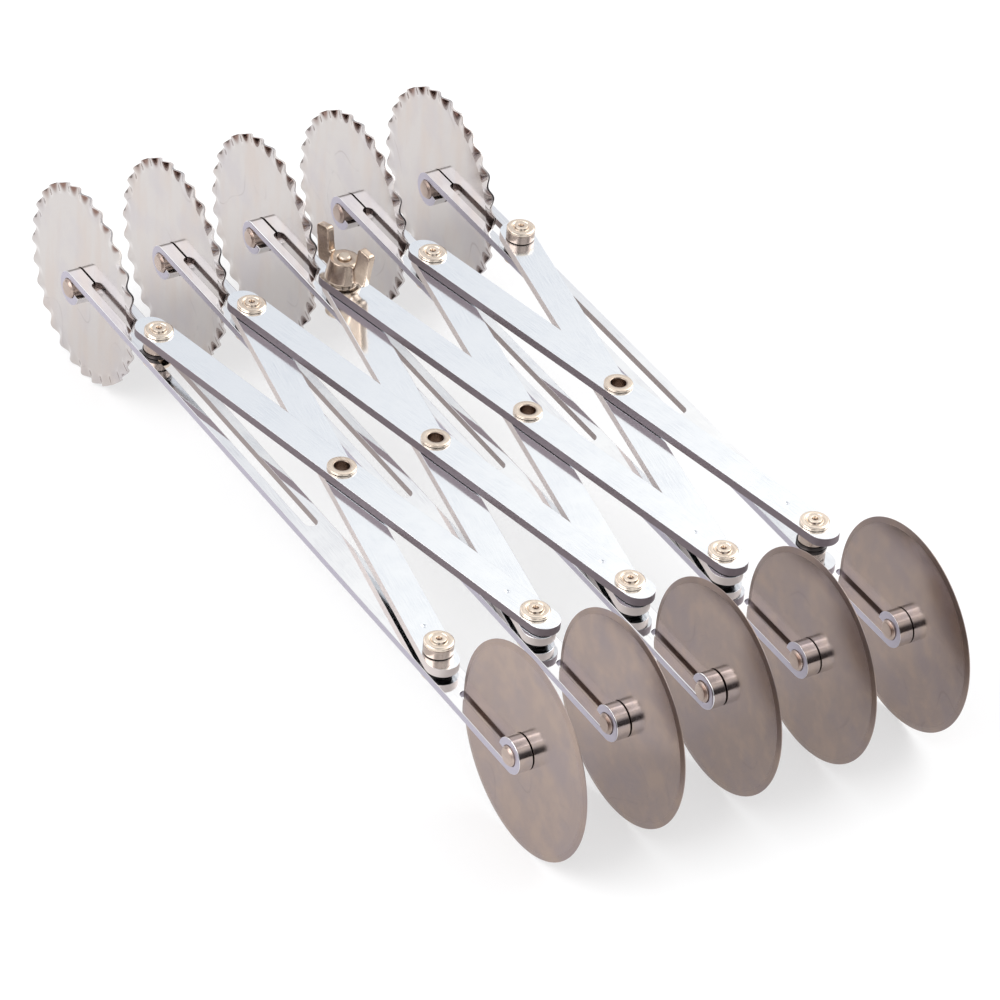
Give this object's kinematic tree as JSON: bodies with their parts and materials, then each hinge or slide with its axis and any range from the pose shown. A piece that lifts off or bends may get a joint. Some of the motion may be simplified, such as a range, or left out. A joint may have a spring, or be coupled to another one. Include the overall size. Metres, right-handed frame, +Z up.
{
  "type": "expandable dough cutter",
  "caption": "Scissor-lattice dough cutter whose slotted carriers hold plain cutting wheels at one end and fluted wheels at the other, opened to a spacing and locked by a wing nut.",
  "frame": {"origin": "on the table under the middle of the middle carrier, halfway between the rows of axles", "axes": "+X the way the lattice opens, +Y towards the fluted wheels, +Z up"},
  "size_m": [0.1196, 0.2758, 0.055],
  "materials": {
    "plated_strip": "bright plated, mirror",
    "pin_steel": "turned",
    "rivet_nickel": "nickel plated",
    "washer_steel": "turned",
    "bush_nickel": "nickel plated",
    "plated_bar": "bright plated",
    "screw_steel": "turned",
    "nut_nickel": "nickel plated casting",
    "plain_steel": "ground satin",
    "fluted_steel": "pressed satin"
  },
  "bodies": {
    "carrier_1": {"carrier_1": "plated_strip", "axle_pair_1": "pin_steel", "base_rivet_1": "rivet_nickel", "base_washer_1": "washer_steel", "base_spacer_1": "bush_nickel"},
    "carrier_2": {"carrier_2": "plated_strip", "axle_pair_2": "pin_steel", "base_rivet_2": "rivet_nickel", "base_washer_2": "washer_steel"},
    "carrier_3": {"carrier_3": "plated_strip", "axle_pair_3": "pin_steel", "base_rivet_3": "rivet_nickel", "base_washer_3": "washer_steel"},
    "carrier_4": {"carrier_4": "plated_strip", "axle_pair_4": "pin_steel", "base_rivet_4": "rivet_nickel", "base_washer_4": "washer_steel"},
    "carrier_5": {"carrier_5": "plated_strip", "axle_pair_5": "pin_steel", "base_rivet_5": "rivet_nickel", "base_washer_5": "washer_steel", "base_spacer_5": "bush_nickel"},
    "upper_bar_1": {"upper_bar_1": "plated_bar", "eyelet_1": "rivet_nickel", "tip_rivet_1": "rivet_nickel", "tip_washer_1": "washer_steel", "tip_spacer_1": "bush_nickel"},
    "upper_bar_2": {"upper_bar_2": "plated_bar", "eyelet_2": "rivet_nickel", "tip_rivet_2": "rivet_nickel", "tip_washer_2": "washer_steel"},
    "upper_bar_3": {"upper_bar_3": "plated_bar", "eyelet_3": "rivet_nickel", "clamp_screw": "screw_steel", "tip_washer_3": "washer_steel"},
    "upper_bar_4": {"upper_bar_4": "plated_bar", "eyelet_4": "rivet_nickel", "tip_rivet_4": "rivet_nickel", "tip_washer_4": "washer_steel"},
    "lower_bar_1": {"lower_bar_1": "plated_bar"},
    "lower_bar_2": {"lower_bar_2": "plated_bar"},
    "lower_bar_3": {"lower_bar_3": "plated_bar"},
    "lower_bar_4": {"lower_bar_4": "plated_bar", "tip_rivet_5": "rivet_nickel", "tip_washer_5": "washer_steel", "tip_spacer_5": "bush_nickel"},
    "wing_nut": {"wing_nut": "nut_nickel"},
    "plain_wheel_1": {"plain_wheel_1": "plain_steel"},
    "plain_wheel_2": {"plain_wheel_2": "plain_steel"},
    "plain_wheel_3": {"plain_wheel_3": "plain_steel"},
    "plain_wheel_4": {"plain_wheel_4": "plain_steel"},
    "plain_wheel_5": {"plain_wheel_5": "plain_steel"},
    "fluted_wheel_1": {"fluted_wheel_1": "fluted_steel"},
    "fluted_wheel_2": {"fluted_wheel_2": "fluted_steel"},
    "fluted_wheel_3": {"fluted_wheel_3": "fluted_steel"},
    "fluted_wheel_4": {"fluted_wheel_4": "fluted_steel"},
    "fluted_wheel_5": {"fluted_wheel_5": "fluted_steel"}
  },
  "joints": [
    {"name": "expand", "type": "hinge", "parent": "carrier_3", "child": "upper_bar_2", "pos_m": [0, -0.07023, 0.02736], "axis": [0, -0.0333, 0.9994], "range_deg": [-6.7, 53]},
    {"name": "lower_bar_3_turn", "type": "hinge", "parent": "carrier_3", "child": "lower_bar_3", "pos_m": [0, -0.07023, 0.02736], "axis": [0, -0.0333, 0.9994], "range_deg": [-53, 6.7]},
    {"name": "lower_bar_2_cross", "type": "hinge", "parent": "upper_bar_2", "child": "lower_bar_2", "pos_m": [-0.01364, -0.00017, 0.0323], "axis": [0, -0.0333, 0.9994], "range_deg": [-106, 13.4]},
    {"name": "upper_bar_3_cross", "type": "hinge", "parent": "lower_bar_3", "child": "upper_bar_3", "pos_m": [0.01364, -0.00017, 0.0323], "axis": [0, -0.0333, 0.9994], "range_deg": [-13.4, 106]},
    {"name": "carrier_2_turn", "type": "hinge", "parent": "lower_bar_2", "child": "carrier_2", "pos_m": [-0.02729, -0.07023, 0.02736], "axis": [0, -0.0333, 0.9994], "range_deg": [-6.7, 53]},
    {"name": "carrier_4_turn", "type": "hinge", "parent": "upper_bar_3", "child": "carrier_4", "pos_m": [0.02729, -0.07023, 0.02736], "axis": [0, -0.0333, 0.9994], "range_deg": [-53, 6.7]},
    {"name": "upper_bar_1_turn", "type": "hinge", "parent": "carrier_2", "child": "upper_bar_1", "pos_m": [-0.02729, -0.07023, 0.02736], "axis": [0, -0.0333, 0.9994], "range_deg": [-6.7, 53]},
    {"name": "lower_bar_1_cross", "type": "hinge", "parent": "upper_bar_1", "child": "lower_bar_1", "pos_m": [-0.04093, -0.00017, 0.0323], "axis": [0, -0.0333, 0.9994], "range_deg": [-106, 13.4]},
    {"name": "carrier_1_turn", "type": "hinge", "parent": "lower_bar_1", "child": "carrier_1", "pos_m": [-0.05457, -0.07023, 0.02736], "axis": [0, -0.0333, 0.9994], "range_deg": [-6.7, 53]},
    {"name": "lower_bar_4_turn", "type": "hinge", "parent": "carrier_4", "child": "lower_bar_4", "pos_m": [0.02729, -0.07023, 0.02736], "axis": [0, -0.0333, 0.9994], "range_deg": [-53, 6.7]},
    {"name": "upper_bar_4_cross", "type": "hinge", "parent": "lower_bar_4", "child": "upper_bar_4", "pos_m": [0.04093, -0.00017, 0.0323], "axis": [0, -0.0333, 0.9994], "range_deg": [-13.4, 106]},
    {"name": "carrier_5_turn", "type": "hinge", "parent": "upper_bar_4", "child": "carrier_5", "pos_m": [0.05457, -0.07023, 0.02736], "axis": [0, -0.0333, 0.9994], "range_deg": [-53, 6.7]},
    {"name": "wing_nut_turn", "type": "hinge", "parent": "upper_bar_3", "child": "wing_nut", "pos_m": [0, 0.07006, 0.03203], "axis": [0, -0.0333, 0.9994], "range_deg": [0, 360]},
    {"name": "plain_wheel_1_spin", "type": "hinge", "parent": "carrier_1", "child": "plain_wheel_1", "pos_m": [-0.05457, -0.11036, 0.0275], "axis": [1, 0, 0], "continuous": true},
    {"name": "plain_wheel_2_spin", "type": "hinge", "parent": "carrier_2", "child": "plain_wheel_2", "pos_m": [-0.02729, -0.11036, 0.0275], "axis": [1, 0, 0], "continuous": true},
    {"name": "plain_wheel_3_spin", "type": "hinge", "parent": "carrier_3", "child": "plain_wheel_3", "pos_m": [0, -0.11036, 0.0275], "axis": [1, 0, 0], "continuous": true},
    {"name": "plain_wheel_4_spin", "type": "hinge", "parent": "carrier_4", "child": "plain_wheel_4", "pos_m": [0.02729, -0.11036, 0.0275], "axis": [1, 0, 0], "continuous": true},
    {"name": "plain_wheel_5_spin", "type": "hinge", "parent": "carrier_5", "child": "plain_wheel_5", "pos_m": [0.05457, -0.11036, 0.0275], "axis": [1, 0, 0], "continuous": true},
    {"name": "fluted_wheel_1_spin", "type": "hinge", "parent": "carrier_1", "child": "fluted_wheel_1", "pos_m": [-0.05457, 0.11036, 0.0275], "axis": [1, 0, 0], "continuous": true},
    {"name": "fluted_wheel_2_spin", "type": "hinge", "parent": "carrier_2", "child": "fluted_wheel_2", "pos_m": [-0.02729, 0.11036, 0.0275], "axis": [1, 0, 0], "continuous": true},
    {"name": "fluted_wheel_3_spin", "type": "hinge", "parent": "carrier_3", "child": "fluted_wheel_3", "pos_m": [0, 0.11036, 0.0275], "axis": [1, 0, 0], "continuous": true},
    {"name": "fluted_wheel_4_spin", "type": "hinge", "parent": "carrier_4", "child": "fluted_wheel_4", "pos_m": [0.02729, 0.11036, 0.0275], "axis": [1, 0, 0], "continuous": true},
    {"name": "fluted_wheel_5_spin", "type": "hinge", "parent": "carrier_5", "child": "fluted_wheel_5", "pos_m": [0.05457, 0.11036, 0.0275], "axis": [1, 0, 0], "continuous": true}
  ],
  "couplings": [
    {"joint": "lower_bar_3_turn", "follows": "expand", "ratio": -1},
    {"joint": "lower_bar_2_cross", "follows": "expand", "ratio": -2},
    {"joint": "upper_bar_3_cross", "follows": "expand", "ratio": 2},
    {"joint": "carrier_2_turn", "follows": "expand", "ratio": 1},
    {"joint": "carrier_4_turn", "follows": "expand", "ratio": -1},
    {"joint": "upper_bar_1_turn", "follows": "expand", "ratio": 1},
    {"joint": "lower_bar_1_cross", "follows": "expand", "ratio": -2},
    {"joint": "carrier_1_turn", "follows": "expand", "ratio": 1},
    {"joint": "lower_bar_4_turn", "follows": "expand", "ratio": -1},
    {"joint": "upper_bar_4_cross", "follows": "expand", "ratio": 2},
    {"joint": "carrier_5_turn", "follows": "expand", "ratio": -1}
  ]
}
